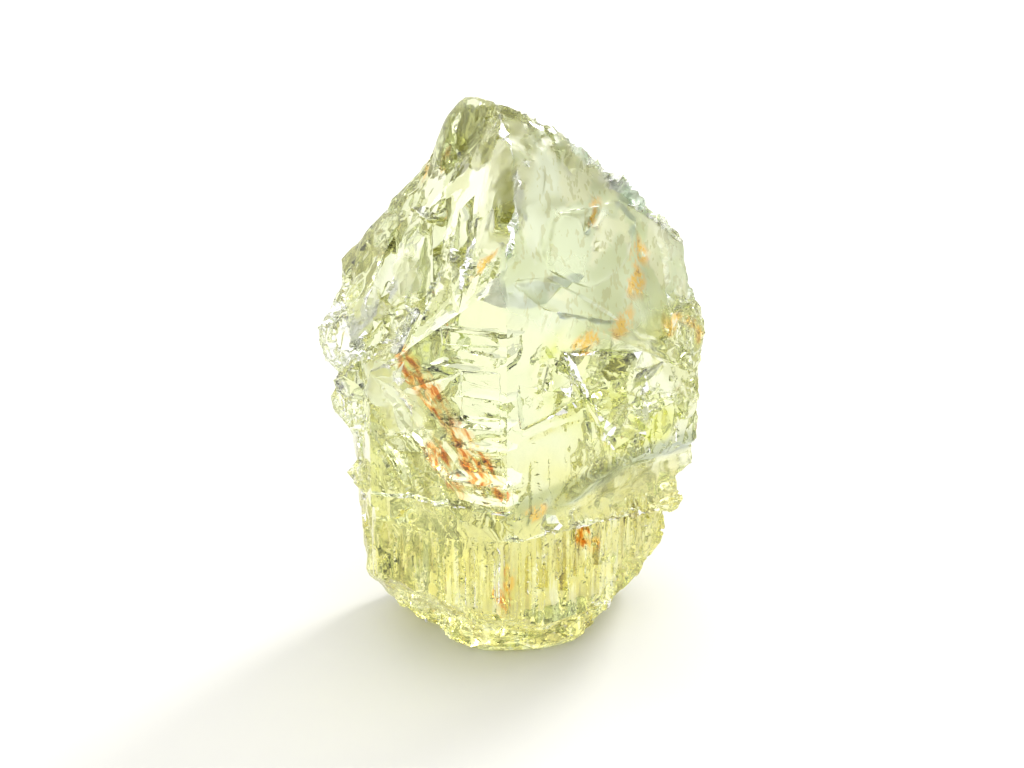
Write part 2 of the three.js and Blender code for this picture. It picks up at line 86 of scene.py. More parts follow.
# Rounded zones of the skin: from, to and radius.
ZONES = {
    "knob": ((-3, -1, 46), (-3.6, -3, 41), 5.2),
    "band": ((-13, -8, 31.5), (-1.5, -12.5, 41.5), 4.4),
    "band_top": ((-1.5, -12, 41.5), (1, -6, 48), 2.6),
    "ridge": ((0.5, -4, 48.6), (6.5, -1.2, 46), 3.6),
    "right_slope": ((6.5, -1.2, 46), (16, 4.8, 34.8), 3.0),
    "right_flank": ((16, 1, 35), (16.2, -1.3, 20), 3.8),
    "left_flank": ((-14.5, -2, 31), (-12.6, -4, 9), 4.0),
    "shard_patch": ((-11, -10.5, 27.5), (-5.8, -13, 18.5), 4.4),
    "mosaic": ((5, -10.5, 29), (12.5, -5, 20), 5.2),
    "shelf": ((4, -10.5, 15.6), (16, -2, 15.2), 3.2),
    "bars": ((-2.4, -13.9, 30.5), (-1.6, -14.2, 20), 3.0),
    "stripes": ((2.6, -12.9, 25.6), (6.4, -9.7, 25.8), 2.6),
    "blade": ((1, -14, 17.4), (16, -1.6, 17.8), 1.8),
    "white_shard": ((-13, -6.3, 31.5), (-8.6, -7.2, 36), 2.2),
    "squiggle": ((-10.6, -11, 28.4), (-8.6, -11.8, 26), 2.6),
    "rim": ((-11.2, -2.8, 5.4), (-5.4, -9, 5.6), 3.2),
    "foot": ((-8, -4, 1.5), (8, -4.5, 2.5), 4.2),
    "foot_right": ((8, -5, 2.5), (13, -1, 9), 3.4),
}

# Zones and faces whose chips are tinted one by one, as painted shade and painted highlight for facets
# that would reflect darker or brighter surroundings. A chip gets painted shade (dark) if its random
# draw is over the first share, and painted highlight (white) if it is under the second.
CHIPPED = ("left_slope", "hazy_face", "band", "ridge", "shard_patch", "mosaic", "right_flank")
DARK_FROM = 0.62
WHITE_TO = 0.34

# Zones that are rounded off, frosted, white (partly frost, partly painted highlight) and finely etched.
SOFT_ZONES = ("knob", "shelf", "right_slope", "band_top")
FROSTY_ZONES = ("white_shard", "squiggle", "right_slope", "band_top")
FROST_AND_HIGHLIGHT_ZONES = ("right_slope", "band_top", "left_flank", "rim", "white_shard", "squiggle")
ETCHED_ZONES = ("band", "band_top", "ridge", "right_flank", "shard_patch", "foot", "foot_right")
UP = (0, 0, 1)
BAND_GRAIN = (0.5, 0.21, 0.86)
SHARD_GRAIN = (-0.5, 0.18, 0.87)

# The deep cracks of the solid: middle, azimuth and elevation that each faces, and its longest reach.
# The skin nearer to a crack than the gap is left as it is.
CRACK_GAP = 0.2
DEEP_CRACKS = (
    ((-3.8, -12.2, 30.4), 0, 88, 2.5),
    ((-1.5, -12.8, 27.8), 90, 86, 3.1),
    ((-2.5, -12.4, 25.2), 180, 87, 3.1),
    ((-2.2, -12.5, 23.2), 60, 88, 2.6),
    ((-1.8, -12.6, 20.2), -90, 87, 3.1),
    ((-1.9, -12.4, 18.3), 0, 87, 2.7),
    ((-2.5, -12.5, 33.4), 80, 86, 3.7),
    ((-1.2, -12.9, 31.9), -60, 88, 2.6),
    ((-6.9, -4.2, 40.2), 0, 88, 2.9),
    ((3.4, -10.2, 36.0), -60, 62, 5.4),
    ((-11.0, -6.0, 32.6), -177, 40, 3.6),
    ((-8.1, -10.6, 32.6), -165, 30, 2.7),
    ((-8.6, -11.1, 24.5), -31, 27, 2.6),
    ((-7.1, -12.2, 22.4), -36, 30, 2.4),
    ((-5.7, -12.6, 20.7), -28, 24, 2.1),
    ((-9.3, -11.2, 20.6), -34, 30, 2.3),
    ((5.4, -10.1, 30.2), -50, -30, 2.3),
    ((9.2, -7.1, 28.4), -62, -26, 2.9),
    ((3.0, -12.4, 28.8), -20, -10, 1.7),
    ((12.0, -4.8, 26.4), -44, -34, 2.1),
    ((12.9, -3.4, 22.6), -60, 65, 3.1),
)

# Relief of the skin: the zone or plane it is in, its kind, the direction, length and width of its
# grain, and its depth. A facet relief is folded like crumpled foil, a shard relief is broken in steps.
RELIEFS = (
    ("zone", "knob", "facets", UP, 4.0, 3.0, 0.05),
    ("plane", "left_slope", "facets", UP, 8.0, 1.2, 0.12),
    ("plane", "left_slope", "shards", UP, 7.0, 1.5, 0.12),
    ("zone", "band", "shards", BAND_GRAIN, 4.0, 1.3, 0.24),
    ("zone", "band_top", "facets", BAND_GRAIN, 3.4, 1.4, 0.14),
    ("plane", "hazy_face", "shards", BAND_GRAIN, 6.0, 3.6, 0.03),
    ("zone", "ridge", "shards", UP, 1.6, 1.1, 0.16),
    ("zone", "right_slope", "shards", UP, 2.6, 1.8, 0.07),
    ("zone", "right_flank", "shards", UP, 3.0, 1.6, 0.2),
    ("zone", "left_flank", "shards", UP, 3.2, 2.0, 0.34),
    ("zone", "squiggle", "facets", SHARD_GRAIN, 1.8, 0.8, 0.14),
    ("zone", "bars", "facets", (0.94, -0.34, 0), 5.0, 0.8, 0.14),
    ("zone", "stripes", "facets", (0.77, 0.64, 0), 5.0, 0.7, 0.16),
    ("zone", "shard_patch", "shards", SHARD_GRAIN, 4.5, 1.4, 0.24),
    ("zone", "mosaic", "shards", BAND_GRAIN, 4.5, 3.2, 0.22),
    ("plane", "front_left", "shards", UP, 9.0, 4.0, 0.01),
    ("plane", "front_right", "shards", UP, 7.0, 4.0, 0.04),
    ("zone", "shelf", "facets", (0.77, 0.64, 0), 4.0, 1.0, 0.2),
    ("zone", "rim", "shards", UP, 2.4, 1.2, 0.2),
    ("zone", "foot", "shards", UP, 1.4, 1.0, 0.16),
    ("zone", "foot_right", "shards", UP, 2.0, 1.3, 0.2),
)

# Reliefs of the lower body and of the back, with the start of each one's random draws. Depths at
# the back are shares of one setting.
LOWER_RELIEFS = (
    ("facets", UP, 8.0, 0.7, 0.1, 401),
    ("shards", UP, 10.0, 1.4, 0.16, 431),
)
BACK_RELIEFS = (
    ("facets", UP, 8.0, 5.0, 1.0, 301),
    ("shards", UP, 5.0, 3.0, 0.25, 331),
)

# What is taken off each relief, so that most of the skin goes inward, and the height up to which
# the foot has none, with the height over which it sets in.
RELIEF_REST = 0.35
FOOT_KEPT = 0.15
FOOT_BLEND = 0.8

# Half the width of the table top, and its height, a little under the foot.
TABLE_HALF = 4000.0
TABLE_HEIGHT = -0.03

# Soft lights: the width, the place and the point that each is aimed at, in metres.
KEY_LIGHT = (0.16, (0.25, 0.3, 0.3), (0, 0, 0.02))
SIDE_LIGHT = (0.12, (-0.335, 0.046, 0.142), (0, 0, 0.024))

# Colours of the surroundings in front of the stone, behind it and overhead, and for the camera.
SKY_FRONT = (0.45, 0.47, 0.43, 1)
SKY_BEHIND = (0.94, 0.94, 0.94, 1)
SKY_ABOVE = (1.7, 1.7, 1.7, 1)
WHITE = (1, 1, 1, 1)

# Refining and rounding of the mesh, and the angles over which its edges are sharp.
LOWER_TOP = 15.5
ROUNDED_SHARE = 0.6
ROUNDED_FACE = 0.3
ROUNDED_LOWER = 0.2
ROUNDS = 8
SHARP_SKIN = math.radians(24)
SHARP_FILM = math.radians(60)
FILM_SEED = 90

# Iron stains: centre, half widths, the azimuth and elevation of the face that each lies at, and how
# far it leans from the vertical on that face. The first few colour the skin, the others lie under it.
SKIN_STAINS = 13
STAINS = (
    ((11.0, -2.9, 33.5), 1.9, 1.3, -36, 21, 20),
    ((11.7, -0.7, 35.8), 0.9, 1.6, -36, 21, 10),
    ((11.2, -2.0, 34.7), 0.6, 2.0, -36, 21, 5),
    ((7.4, -3.5, 40.3), 0.7, 1.7, -36, 21, -30),
    ((6.7, -9.4, 31.0), 2.2, 1.1, -50, 0, 12),
    ((9.9, -6.1, 31.2), 2.2, 0.9, -50, 0, 20),
    ((0.2, -13.1, 10.6), 0.7, 1.6, -50, 0, 0),
    ((7.7, -6.9, 10.6), 0.9, 1.0, -50, 0, 0),
    ((15.4, -2.6, 29.4), 0.6, 1.5, -30, 0, 0),
    ((2.4, -13.0, 16.9), 1.7, 0.9, -50, 0, 0),
    ((-6.5, -0.3, 43.5), 0.5, 2.2, -160, 35.5, 12),
    ((-4.3, -2.9, 44.2), 0.4, 1.5, -160, 35.5, -8),
    ((-2.0, -12.6, 39.2), 0.6, 2.2, -140, 31, -30),
    ((-6.6, -11.3, 28.0), 1.5, 4.4, -110, 0, 34),
    ((-2.4, -12.9, 21.8), 1.7, 5.0, -110, 0, 34),
    ((-5.0, -12.0, 21.0), 1.0, 3.6, -110, 0, 30),
    ((-0.4, -12.6, 8.6), 0.9, 1.8, -110, 0, 8),
    ((6.6, -8.0, 12.2), 1.1, 1.5, -50, 0, 0),
)


def direction(azimuth, elevation):
    """The unit vector at an azimuth from +X towards +Y and an elevation, in degrees."""
    a, e = math.radians(azimuth), math.radians(elevation)
    return np.array((math.cos(e) * math.cos(a), math.cos(e) * math.sin(a), math.sin(e)))


def smooth(x):
    """0 below 0, 1 above 1 and a smooth step between."""
    x = np.clip(x, 0, 1)
    return x * x * (3 - 2 * x)


def in_zone(points, name):
    """1 along a zone's middle line, falling to 0 at its radius."""
    start, end, radius = ZONES[name]
    start, end = np.array(start, float), np.array(end, float)
    line = end - start
    share = np.clip((points - start) @ line / (line @ line), 0, 1)
    away = np.linalg.norm(points - start - share[:, None] * line, axis=1)
    return smooth((1 - away / radius) * 2.2)


def most(points, names):
    """The largest share that any of the named zones has at each point."""
    return np.max([in_zone(points, name) for name in names], axis=0)


def on_plane(points, name, within=0.9):
    """1 on a face of the solid, falling to 0 at a distance from it."""
    azimuth, elevation, through = PLANES[name]
    away = np.abs((points - np.array(through)) @ direction(azimuth, elevation))
    return smooth((1 - away / within) * 1.5)


def in_crack(points):
    """1 at a deep crack of the solid, whose two walls stay as they are, and 0 from a little way off."""
    share = np.zeros(len(points))
    for place, azimuth, elevation, reach in DEEP_CRACKS:
        away = points - np.array(place)
        off = np.abs(away @ direction(azimuth, elevation))
        near = (off < CRACK_GAP) & (np.linalg.norm(away, axis=1) < reach)
        share[near] = 1
    return share


def hashed(cells, seed):
    """Repeatable numbers from 0 to 1 for whole-number cells, mixed by shifts and products."""
    x, y, z = (cells[..., i].astype(np.int64).astype(np.uint64) for i in range(3))
    mixed = x * np.uint64(73856093) ^ y * np.uint64(19349663) ^ z * np.uint64(83492791)
    mixed ^= np.uint64(seed * 2654435761 % 2**32)
    for _ in range(2):
        mixed = (mixed ^ (mixed >> np.uint64(15))) * np.uint64(2246822519) & np.uint64(0xFFFFFFFF)
    return (mixed ^ (mixed >> np.uint64(13))).astype(float) % 65536 / 65536


def along_grain(points, grain, length, width):
    """Points scaled so that one cell is width across the grain and length along it."""
    grain = np.array(grain, float)
    grain /= np.linalg.norm(grain)
    along = points @ grain
    return points / width + along[:, None] * grain * (1 / length - 1 / width)


def facets(points, seed):
    """Continuous flat-sided relief from -1 to 1: random heights at the corners of a lattice of
    tetrahedra, carried straight across each one by its four corner weights."""
    skewed = points + points.sum(1, keepdims=True) / 3
    base = np.floor(skewed)
    inside = skewed - base
    order = np.argsort(-inside, axis=1)
    ranked = np.take_along_axis(inside, order, 1)
    weights = (1 - ranked[:, 0], ranked[:, 0] - ranked[:, 1], ranked[:, 1] - ranked[:, 2], ranked[:, 2])
    corner = base.copy()
    height = np.zeros(len(points))
    for step, weight in enumerate(weights):
        height += weight * (2 * hashed(corner, seed) - 1)
        if step < 3:
            corner[np.arange(len(points)), order[:, step]] += 1
    return height


def nearest_cell(points, seed):
    """The cell whose random centre is nearest to each point, and the way from that centre."""
    base = np.floor(points)
    nearest = np.full(len(points), np.inf)
    cell = np.zeros(points.shape)
    away = np.zeros(points.shape)
    for offset in np.ndindex(3, 3, 3):
        tried = base + np.array(offset) - 1
        gap = points - tried - np.stack([hashed(tried, seed + i) for i in range(3)], 1)
        distance = (gap * gap).sum(1)
        closer = distance < nearest
        nearest[closer] = distance[closer]
        cell[closer] = tried[closer]
        away[closer] = gap[closer]
    return cell, away


def shards(points, seed):
    """Broken relief from about -1 to 1: each point takes the tilted plane of its nearest cell."""
    cell, away = nearest_cell(points, seed)
    tilt = np.stack([hashed(cell, seed + 3 + i) for i in range(3)], 1) - 0.5
    return np.clip(2 * hashed(cell, seed + 6) - 1 + 1.8 * (away * tilt).sum(1), -1.2, 1.2)


NOISES = {"facets": facets, "shards": shards}


def merged(mesh):
    """A mesh's points in millimetres and its triangles, with points at one place made one."""
    flat = np.empty(len(mesh.vertices) * 3, np.float32)
    mesh.vertices.foreach_get("co", flat)
    mesh.calc_loop_triangles()
    corners = np.empty(len(mesh.loop_triangles) * 3, np.int32)
    mesh.loop_triangles.foreach_get("vertices", corners)
    points = flat.reshape(-1, 3).astype(float) / MM
    _, first, where = np.unique(np.round(points, 4), axis=0, return_index=True, return_inverse=True)
    faces = where.reshape(-1)[corners].reshape(-1, 3)
    real = (faces != np.roll(faces, 1, 1)).all(1)
    return points[first], faces[real]


def split_long_edges(points, faces, limit_at):
    """Cuts each edge that is longer than limit_at at its middle and is the longest of a face that
    it bounds, until no face has a longest edge over the limit."""
    while True:
        sides = np.sort(np.stack([faces, np.roll(faces, -1, 1)], 2), axis=2)
        keys = sides[..., 0].astype(np.int64) * len(points) + sides[..., 1]
        keys, side = np.unique(keys.ravel(), return_inverse=True)
        side = side.reshape(-1, 3)
        edges = np.stack([keys // len(points), keys % len(points)], 1)
        middles = points[edges].mean(1)
        lengths = np.linalg.norm(points[edges[:, 0]] - points[edges[:, 1]], axis=1)
        long = lengths > limit_at(middles)
        longest = side[np.arange(len(faces)), lengths[side].argmax(1)]
        cut = np.zeros(len(edges), bool)
        cut[longest[long[longest]]] = True
        if not cut.any():
            return points, faces
        number = np.full(len(edges), -1)
        number[cut] = len(points) + np.arange(cut.sum())
        points = np.vstack([points, middles[cut]])
        faces = split_faces(points, faces, number[side])


def split_faces(points, faces, middle):
    """Each face cut at the middles of its sides that have one, and the others as they are."""
    done = [faces[(middle < 0).all(1)]]
    for turn in range(3):
        a, b, c = (faces[:, (turn + i) % 3] for i in range(3))
        ab, bc, ca = (middle[:, (turn + i) % 3] for i in range(3))
        one = (ab >= 0) & (bc < 0) & (ca < 0)
        done += [np.stack([a, ab, c], 1)[one], np.stack([ab, b, c], 1)[one]]
        two = (ab >= 0) & (bc >= 0) & (ca < 0)
        done.append(np.stack([ab, b, bc], 1)[two])
        reach_a = np.linalg.norm(points[a] - points[bc], axis=1)
        reach_c = np.linalg.norm(points[c] - points[ab], axis=1)
        over_a = two & (reach_a < reach_c)
        over_c = two & ~over_a
        done += [np.stack([a, ab, bc], 1)[over_a], np.stack([a, bc, c], 1)[over_a]]
        done += [np.stack([a, ab, c], 1)[over_c], np.stack([ab, bc, c], 1)[over_c]]
    three = (middle >= 0).all(1)
    (a, b, c), (ab, bc, ca) = faces[three].T, middle[three].T
    done += [np.stack(corners, 1) for corners in ((a, ab, ca), (ab, b, bc), (ca, bc, c), (ab, bc, ca))]
    return np.vstack(done)


def rounded(points, faces, share, rounds):
    """Points drawn towards the middle of their neighbours, by their share, a few times over."""
    sides = np.vstack([faces[:, [0, 1]], faces[:, [1, 2]], faces[:, [2, 0]]])
    count = np.bincount(sides[:, 0], minlength=len(points))[:, None]
    for _ in range(rounds):
        total = np.stack([
            np.bincount(sides[:, 0], points[sides[:, 1], axis], len(points)) for axis in range(3)], 1)
        points = points + share[:, None] * (total / count - points)
    return points


def point_normals(points, faces):
    """Outward unit vectors at the points: the sum of the area vectors of the faces around each."""
    a, b, c = (points[faces[:, i]] for i in range(3))
    area = np.cross(b - a, c - a)
    normals = np.zeros_like(points)
    for i in range(3):
        np.add.at(normals, faces[:, i], area)
    return normals / np.maximum(np.linalg.norm(normals, axis=1, keepdims=True), 1e-12)


def mesh_object(name, points, faces, sharp_angle=None):
    """A new object at the origin with points in millimetres, smooth but for edges over an angle."""
    mesh = bpy.data.meshes.new(name)
    mesh.vertices.add(len(points))
    mesh.vertices.foreach_set("co", (points * MM).astype(np.float32).ravel())
    mesh.loops.add(faces.size)
    mesh.loops.foreach_set("vertex_index", faces.astype(np.int32).ravel())
    mesh.polygons.add(len(faces))
    mesh.polygons.foreach_set("loop_start", np.arange(0, faces.size, faces.shape[1], dtype=np.int32))
    mesh.update(calc_edges=True)
    if sharp_angle is not None:
        mesh.polygons.foreach_set("use_smooth", np.ones(len(faces), bool))
        mesh.set_sharp_from_angle(angle=sharp_angle)
    piece = bpy.data.objects.new(name, mesh)
    bpy.context.scene.collection.objects.link(piece)
    return piece


def set_mask(piece, name, values):
    """Stores one number from 0 to 1 for each point, for the material to read."""
    layer = piece.data.attributes.new(name, "FLOAT", "POINT")
    layer.data.foreach_set("value", np.clip(values, 0, 1).astype(np.float32))


class Value:
    """A node socket that Python's operators work on: each operator adds a Math node."""

    def __init__(self, shader, socket):
        self.shader = shader
        self.socket = socket

    def math(self, operation, first, second):
        return self.shader.node("ShaderNodeMath", {"operation": operation}, {0: first, 1: second})

    def __add__(self, other):
        return self.math("ADD", self, other)

    def __radd__(self, other):
        return self.math("ADD", other, self)

    def __sub__(self, other):
        return self.math("SUBTRACT", self, other)

    def __rsub__(self, other):
        return self.math("SUBTRACT", other, self)

    def __mul__(self, other):
        return self.math("MULTIPLY", self, other)

    def __rmul__(self, other):
        return self.math("MULTIPLY", other, self)


class Shader:
    """A node tree and the one method that adds a node to it."""

    def __init__(self, owner):
        owner.use_nodes = True
        self.tree = owner.node_tree
        self.tree.nodes.clear()

    def node(self, kind, settings=None, inputs=None, output=0):
        """Adds a node, sets its settings first, then its sockets by name or number, and returns
        one of its outputs. The setting stops fills a ramp with (position, colour) pairs."""
        made = self.tree.nodes.new(kind)
        for name, value in (settings or {}).items():
            if name == "stops":
                self.fill_ramp(made.color_ramp, value)
            else:
                setattr(made, name, value)
        for key, value in (inputs or {}).items():
            if isinstance(value, Value):
                self.tree.links.new(value.socket, made.inputs[key])
            else:
                made.inputs[key].default_value = value
        return Value(self, made.outputs[output]) if made.outputs else made

    def fill_ramp(self, ramp, stops):
        while len(ramp.elements) < len(stops):
            ramp.elements.new(1)
        for element, (position, colour) in zip(ramp.elements, stops):
            element.position = position
            element.color = colour

    def mix(self, factor, first, second):
        """The first colour turning into the second as the factor goes from 0 to 1."""
        return self.node(
            "ShaderNodeMix", {"data_type": "RGBA"}, {0: factor, 6: first, 7: second}, output=2
        )

    def mask(self, name):
        return self.node("ShaderNodeAttribute", {"attribute_name": name}, output=2)

    def step(self, value, low, high):
        """0 below low, 1 above high and a smooth step between."""
        return self.node(
            "ShaderNodeMapRange",
            {"interpolation_type": "SMOOTHSTEP"},
            {0: value, 1: low, 2: high, 3: 0.0, 4: 1.0},
        )

    def noise(self, coordinates, scale, detail=4.0, roughness=0.55, distortion=0.0):
        """Clouds from 0 to 1 with a feature size of one over the scale."""
        return self.node(
            "ShaderNodeTexNoise",
            {},
            {"Vector": coordinates, "Scale": scale, "Detail": detail, "Roughness": roughness,
             "Distortion": distortion},
        )


def object_coordinates(shader, scale=(1, 1, 1), turn=(0, 0, 0)):
    """Object coordinates in metres along axes that are turned by degrees, each times its scale."""
    coordinates = shader.node("ShaderNodeTexCoord", output=3)
    rotation = [math.radians(x) for x in turn]
    sizes = [1 / x for x in scale]
    return shader.node(
        "ShaderNodeMapping",
        {"vector_type": "TEXTURE"},
        {"Vector": coordinates, "Rotation": rotation, "Scale": sizes},
    )


class CrystalSettings(bpy.types.PropertyGroup):
    """Sizes, tints and refraction of the crystal."""

    fine_edge: FloatProperty(
        name="Fine edge", description="Longest edge in the etched zones", default=0.42 * MM,
        subtype="DISTANCE", unit="LENGTH")
    plain_edge: FloatProperty(
        name="Plain edge", description="Longest edge on the flat faces", default=1.1 * MM,
        subtype="DISTANCE", unit="LENGTH")
    back_depth: FloatProperty(
        name="Depth at the back", description="Depth of the broad facets on the back", default=0.7 * MM,
        subtype="DISTANCE", unit="LENGTH")
    ior: FloatProperty(name="Refraction", description="Index of refraction of beryl", default=1.57)
    absorption: FloatProperty(
        name="Absorption", description="How fast the stone takes light away, per metre", default=13.0)
    depth_colour: FloatVectorProperty(
        name="Colour in depth", description="Colour of light that has crossed the stone",
        default=(0.8, 0.86, 0.0), subtype="COLOR")
    clear: FloatVectorProperty(
        name="Clear", description="Tint of the clear body", default=(0.83, 0.86, 0.76), subtype="COLOR")
    cool: FloatVectorProperty(
        name="Cool", description="Tint of the hazy face", default=(0.75, 0.82, 0.86), subtype="COLOR")
    # Partly the deeper body colour of the thick upper left, partly painted shade for the darker
    # surroundings that side faces.
    olive: FloatVectorProperty(
        name="Olive", description="Tint of the knob and the left slope", default=(0.62, 0.66, 0.4),
        subtype="COLOR")
    golden: FloatVectorProperty(
        name="Golden", description="Tint of the lower body", default=(0.8, 0.74, 0.26), subtype="COLOR")
    # Partly the whiteness of frost, partly painted highlight: white chips and bright zones stand in for
    # glints and blown-out internal reflections.
    white: FloatVectorProperty(
        name="White", description="Tint of the white chips and frosted zones",
        default=(0.98, 0.99, 0.97), subtype="COLOR")
    white_streak: FloatVectorProperty(
        name="White streak", description="Tint of the pale upright streaks of the lower body",
        default=(0.98, 0.99, 0.93), subtype="COLOR")
    # Painted shade: the dark chips where they lie on the hazy face.
    panel: FloatVectorProperty(
        name="Panel", description="Tint of the darker chips of the hazy face",
        default=(0.62, 0.72, 0.58), subtype="COLOR")
    stroke: FloatVectorProperty(
        name="Stroke", description="Tint of the fine strokes of the hazy face",
        default=(0.46, 0.46, 0.3), subtype="COLOR")
    speck: FloatVectorProperty(
        name="Speck", description="Tint of the brown specks of the etched zones",
        default=(0.42, 0.3, 0.16), subtype="COLOR")
    deep_rust: FloatVectorProperty(
        name="Deep rust", description="Tint of the dark spots in the skin's iron stains",
        default=(0.4, 0.1, 0.02), subtype="COLOR")
    rust: FloatVectorProperty(
        name="Rust", description="Tint of the iron stains in the skin", default=(0.98, 0.42, 0.03),
        subtype="COLOR")
    lime: FloatVectorProperty(
        name="Lime", description="Tint of the broken patch at the right", default=(0.74, 0.79, 0.18),
        subtype="COLOR")
    # Painted shade: the darker chips stand in for facets that reflect the darker surroundings.
    dark: FloatVectorProperty(
        name="Dark", description="Tint of the darker chips", default=(0.6, 0.61, 0.38), subtype="COLOR")
    streak: FloatVectorProperty(
        name="Streak", description="Tint of the upright streaks of the lower body",
        default=(0.52, 0.46, 0.2), subtype="COLOR")
    blade: FloatVectorProperty(
        name="Blade", description="Tint of the grey blade above the shelf", default=(0.34, 0.4, 0.33),
        subtype="COLOR")


class StainSettings(bpy.types.PropertyGroup):
    """Thickness and colours of the iron stains inside the stone."""

    film: FloatProperty(
        name="Film thickness", description="Thickness of an iron stain", default=0.04 * MM,
        subtype="DISTANCE", unit="LENGTH")
    rust: FloatVectorProperty(
        name="Rust", description="Colour of light through a stain", default=(1.0, 0.52, 0.16),
        subtype="COLOR")
    deep_rust: FloatVectorProperty(
        name="Deep rust", description="Colour of light through a stain's dark threads",
        default=(0.72, 0.2, 0.03), subtype="COLOR")


class StageSettings(bpy.types.PropertyGroup):
    """The table, the light and the camera."""

    elevation: FloatProperty(
        name="Camera elevation", description="How far the camera looks down", default=math.radians(24),
        subtype="ANGLE", unit="ROTATION")
    distance: FloatProperty(
        name="Camera distance", description="From the camera to its target", default=200 * MM,
        subtype="DISTANCE", unit="LENGTH")
    lens: FloatProperty(
        name="Lens", description="Focal length", default=80.0, subtype="DISTANCE_CAMERA", unit="CAMERA")
    target: FloatVectorProperty(
        name="Target", description="The point that the camera looks at",
        default=(0.25 * MM, 0, 24.1 * MM), subtype="TRANSLATION", unit="LENGTH")
    key: FloatProperty(
        name="Key light", description="Power of the soft light behind and to the right", default=1.9,
        subtype="POWER", unit="POWER")
    side: FloatProperty(
        name="Side light", description="Power of the low light at the left", default=0.15,
        subtype="POWER", unit="POWER")
    sky: FloatProperty(name="Sky", description="Brightness of the white surroundings", default=1.0)
    table: FloatVectorProperty(
        name="Table", description="Colour of the table top", default=(0.57, 0.563, 0.535), subtype="COLOR")


def crystal_relief(points, normals, settings):
    """How far each point of the skin moves along its normal, in millimetres and mostly inward: the
    sum of the reliefs, each times its zone, and broad facets where the skin turns from the front."""
    depth = np.zeros(len(points))
    open_skin = 1 - in_crack(points)

    def add(share, noise, grain, length, width, deep, seed):
        there = share > 0
        cells = along_grain(points[there], grain, length, width)
        depth[there] += share[there] * deep * (NOISES[noise](cells, seed) - RELIEF_REST)

    for seed, (kind, name, *relief) in enumerate(RELIEFS):
        share = in_zone(points, name) if kind == "zone" else on_plane(points, name)
        add(share, *relief, 11 * seed + 1)
    lower = smooth((LOWER_TOP - points[:, 2]) / 2) * smooth((points[:, 2] - 1) / 2)
    for relief in LOWER_RELIEFS:
        add(lower, *relief)
    back = smooth((normals @ np.array((0.15, 1, 0)) + 0.1) * 3)
    broken = back * (0.25 + 0.75 * smooth((points[:, 0] + 1) / 4))
    back_depth = settings.back_depth / MM
    for noise, grain, length, width, share, seed in BACK_RELIEFS:
        add(broken, noise, grain, length, width, share * back_depth, seed)
    return depth * open_skin * smooth((points[:, 2] - FOOT_KEPT) / FOOT_BLEND)


def in_stain(points, stain):
    """1 in the middle of an iron stain, falling to 0 at its rim and at a distance from its plane."""
    centre, wide, high, azimuth, elevation, lean = stain
    across, along = stain_axes(azimuth, elevation, lean)
    away = points - np.array(centre)
    radius = np.hypot(away @ across / wide, away @ along / high)
    return smooth((1 - radius) * 2.5) * smooth(2.5 - np.abs(away @ np.cross(across, along)))


def stain_axes(azimuth, elevation, lean):
    """The unit vectors across and along a stain on a face, leaning from the vertical by degrees."""
    side = direction(azimuth + 90, 0)
    up = np.cross(direction(azimuth, elevation), side)
    turn = math.radians(lean)
    return side * math.cos(turn) + up * math.sin(turn), up * math.cos(turn) - side * math.sin(turn)


def chip_masks(points):
    """Where the chips of the broken zones get painted shade, tinted dark, and where painted highlight,
    tinted white. A chip is one cell of the shard relief, and its tint is drawn at random."""
    dark = np.zeros(len(points))
    white = np.zeros(len(points))
    for seed, (kind, name, noise, grain, length, width, _) in enumerate(RELIEFS):
        if noise != "shards" or name not in CHIPPED:
            continue
        share = in_zone(points, name) if kind == "zone" else on_plane(points, name)
        there = share > 0
        cell, _ = nearest_cell(along_grain(points[there], grain, length, width), 11 * seed + 1)
        tint = hashed(cell, 11 * seed + 8)
        dark[there] = np.maximum(dark[there], share[there] * (tint > DARK_FROM))
        white[there] = np.maximum(white[there], share[there] * (tint < WHITE_TO))
    return dark, white


def crystal_masks(points):
    """Where the skin has each tint and finish, from 0 to 1. Some tints are painted light: the dark chips
    are painted shade, the olive upper left is partly painted shade, and the white chips and bright
    zones are partly painted highlight.
    """
    x, y, z = points.T
    # Olive on the upper left only: partly deeper body colour, partly painted shade for the darker
    # surroundings that side faces.
    shaded_upper_left = smooth((-0.42 * x + 0.3 * z - 10.5) / 4)
    olive = np.maximum(0.85 * in_zone(points, "knob"), 0.5 * on_plane(points, "left_slope", 1.6))
    front = smooth((-y - 2) / 3)
    dark, white = chip_masks(points)
    hazy = on_plane(points, "hazy_face", 1.2) * smooth((z - 28) / 4)
    mosaic = in_zone(points, "mosaic")
    # Partly frost, partly painted highlight: the zones that are tinted white.
    bright = most(points, FROST_AND_HIGHLIGHT_ZONES)
    return {
        # Painted shade: the dark chips, away from the mosaic, the bright zones and the hazy face.
        "dark": dark * (1 - mosaic) * (1 - bright) * (1 - hazy),
        # Painted shade: the dark chips on the hazy face.
        "panel": dark * hazy,
        # Partly painted shade: the olive of the upper left.
        "olive": olive * shaded_upper_left,
        "golden": smooth((19 - z) / 9) * (1 - 0.7 * in_zone(points, "rim")),
        "lime": np.maximum(mosaic * np.maximum(dark, 0.6), 0.3 * in_zone(points, "right_flank")),
        # Painted highlight on the white chips, with the frost and painted highlight of the bright zones.
        "bright": np.maximum(white, bright),
        "frosty": most(points, FROSTY_ZONES),
        "blade": in_zone(points, "blade"),
        "hazy": np.maximum(hazy, 0.4 * in_zone(points, "shelf")),
        "rust": np.max([in_stain(points, stain) for stain in STAINS[:SKIN_STAINS]], axis=0),
        "etched": most(points, ETCHED_ZONES),
        "grain": smooth((15 - z) / 3) * front,
    }


